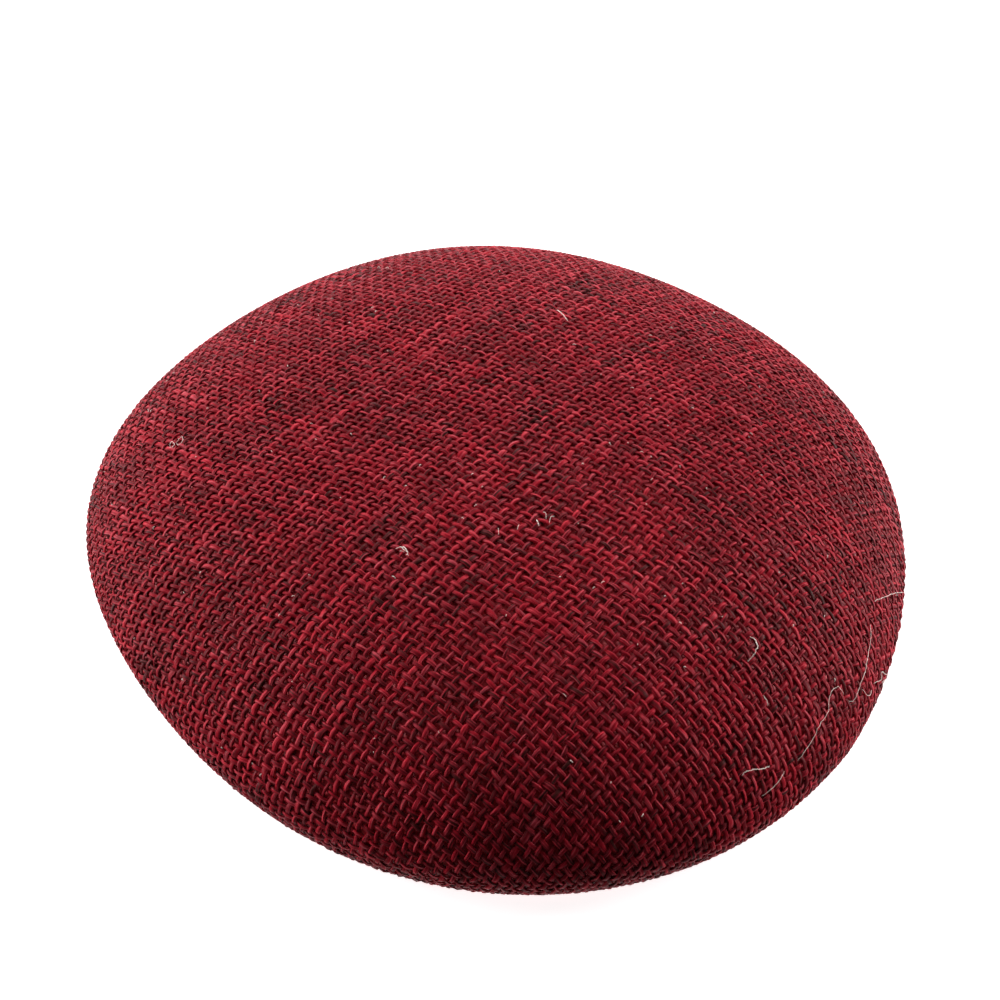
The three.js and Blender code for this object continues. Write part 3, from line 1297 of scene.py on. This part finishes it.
    def _rings(self, fibre: LooseFibre) -> tuple[np.ndarray, np.ndarray, np.ndarray]:
        """Lays one fibre on the crown.

        Args:
            fibre: The fibre.

        Returns:
            Centres and the two section axes of its rings.
        """
        path = self._path(fibre)
        lift = self.rest + fibre.bow * np.sin(math.pi * np.linspace(0.0, 1.0, self.rings))
        arc, bearing = path[:, 0], np.radians(path[:, 1])
        face = sunk(self.form, arc, bearing, np.zeros_like(arc))
        raised = sunk(self.form, arc, bearing, -lift)
        heading = unit(np.gradient(raised, axis=0))
        normal = unit(raised - face)
        across = unit(np.cross(normal, heading))
        return raised, across, np.cross(heading, across)


# Studio


@dataclass(frozen=True)
class Studio:
    """White paper floor, a dim room, three square soft lights and the camera.

    The camera looks at the aim, in millimetres, from distance along back,
    with right across its picture. The room's glow is the sum over its axes of
    an amount times the cosine to the axis, where that is above zero. Lights
    stand in metres, and their power is in watts.
    """

    aim: tuple[float, float, float] = (1.163, 0.306, 7.1)
    back: tuple[float, float, float] = (-0.0026, -0.72523, 0.6885)
    right: tuple[float, float, float] = (0.99999, 0.00002, 0.0038)
    distance: float = 376.86
    lens: float = 70.9
    sensor: float = 36.0
    clip: tuple[float, float] = (0.01, 20.0)
    shift: tuple[float, float] = (0.0006, 0.0226)
    room: tuple[tuple[tuple[float, float, float], float], ...] = (
        ((0.0, 1.0, 0.0), 1.35),
        ((0.0, 0.0, 1.0), 0.03),
        ((0.0, 0.0, -1.0), 1.2),
    )
    softboxes: tuple[tuple[str, tuple[float, float, float], float], ...] = (
        ("rear_softbox", (-0.15, 1.15, 0.5), 4.5),
        ("left_softbox", (-1.2, 0.36, 0.3), 20.0),
        ("right_softbox", (1.2, 0.5, 0.3), 20.5),
    )
    softbox_side: float = 0.8
    floor_half: float = 3000.0
    floor_glow: float = 0.9

    def camera(self) -> None:
        """Stands the camera so that the aim falls at the photograph's place for it."""
        data = bpy.data.cameras.new("camera")
        data.lens, data.sensor_width = self.lens, self.sensor
        data.shift_x, data.shift_y = self.shift
        data.clip_start, data.clip_end = self.clip
        camera = bpy.data.objects.new("camera", data)
        bpy.context.scene.collection.objects.link(camera)
        z = np.array(self.back) / np.linalg.norm(self.back)
        x = np.array(self.right) - z * np.dot(self.right, z)
        x /= np.linalg.norm(x)
        y = np.cross(z, x)
        place = (np.array(self.aim) + z * self.distance) * MM
        matrix = np.eye(4)
        matrix[:3, 0], matrix[:3, 1], matrix[:3, 2], matrix[:3, 3] = x, y, z, place
        camera.matrix_world = Matrix(matrix.tolist())
        bpy.context.scene.camera = camera

    def floor(self) -> None:
        """A wide sheet of white paper, lit from within a little so that it stays white."""
        half = self.floor_half
        corners = np.array([[-half, -half, 0.0], [half, -half, 0.0], [half, half, 0.0], [-half, half, 0.0]])
        face = np.array([[0, 1, 2, 3]])
        floor = mesh_piece("floor", corners, [Skin(face, corners[face][..., :2] / half)], smooth=False)
        material = bpy.data.materials.new("white_paper")
        Graph(material).surface(
            Base_Color=linear("#F4F4F4"),
            Roughness=0.9,
            Emission_Color=linear("#FFFFFF"),
            Emission_Strength=self.floor_glow,
        )
        floor.data.materials.append(material)
        floor.visible_diffuse = False
        floor.visible_glossy = False

    def light(self, name: str, place: tuple[float, float, float], power: float) -> None:
        """Adds one square soft light that faces the hat.

        Args:
            name: The light's name.
            place: Where it stands, in metres.
            power: Its power in watts.
        """
        data = bpy.data.lights.new(name, "AREA")
        data.size, data.energy = self.softbox_side, power
        lamp = bpy.data.objects.new(name, data)
        bpy.context.scene.collection.objects.link(lamp)
        z = np.array(place) / np.linalg.norm(place)
        x = np.cross([0.0, 0.0, 1.0], z)
        x /= np.linalg.norm(x)
        matrix = np.eye(4)
        matrix[:3, 0], matrix[:3, 1], matrix[:3, 2], matrix[:3, 3] = x, np.cross(z, x), z, place
        lamp.matrix_world = Matrix(matrix.tolist())

    def surround(self) -> None:
        """A white room that the camera sees, and a dim one that lights the hat."""
        world = bpy.data.worlds.new("white_room")
        bpy.context.scene.world = world
        graph = Graph(world)
        place = graph.add("ShaderNodeTexCoord").outputs["Generated"]
        glow = 0.0
        for axis, amount in self.room:
            facing = graph.add("ShaderNodeVectorMath", {"operation": "DOT_PRODUCT"}, in0=place, in1=axis)
            towards = graph.math("MAXIMUM", facing.outputs["Value"], 0.0)
            glow = graph.math("MULTIPLY_ADD", towards, amount, glow)
        room = graph.add("ShaderNodeCombineColor", None, Red=glow, Green=glow, Blue=glow).outputs[0]
        seen = graph.add("ShaderNodeLightPath").outputs["Is Camera Ray"]
        colour = graph.mix(seen, room, linear("#FFFFFF"))
        shader = graph.add("ShaderNodeBackground", None, Color=colour, Strength=1.0)
        graph.add("ShaderNodeOutputWorld", None, Surface=shader.outputs[0])

    def build(self) -> None:
        """Sets up the whole studio."""
        bpy.context.scene.view_settings.view_transform = "Standard"
        self.camera()
        self.floor()
        self.surround()
        for name, place, power in self.softboxes:
            self.light(name, place, power)


def main() -> None:
    """Builds the hat part by part, then the studio."""
    logging.basicConfig(level=logging.INFO, format="%(name)s: %(message)s")
    form = BlockedForm()
    straws = StrawMap(form)
    straw = DyedStraw().material()
    inner = InnerWeave().material()
    outer_ply = OuterPly(straws)
    for lie in Lie:
        outer_ply.family(lie, straw)
    InnerPly(straws).build(inner)
    RimBead(straws).build(inner)
    CombStitches(form).build(TwistedFibre().material())
    # The lint's glow is painted light, a small emission in its pale colour, so that its fibres and specks
    # show as small bright glints.
    lint = TwistedFibre("loose_fibre", base="#E8C4BC", light="#FFF2E8", roughness=0.4, pitch=0.6, glow=0.12)
    LooseFibres(form).build(lint.material())
    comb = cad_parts["comb"]
    comb.data.materials.clear()
    comb.data.materials.append(MouldedResin().material())
    Studio().build()


if __name__ == "__main__":
    main()
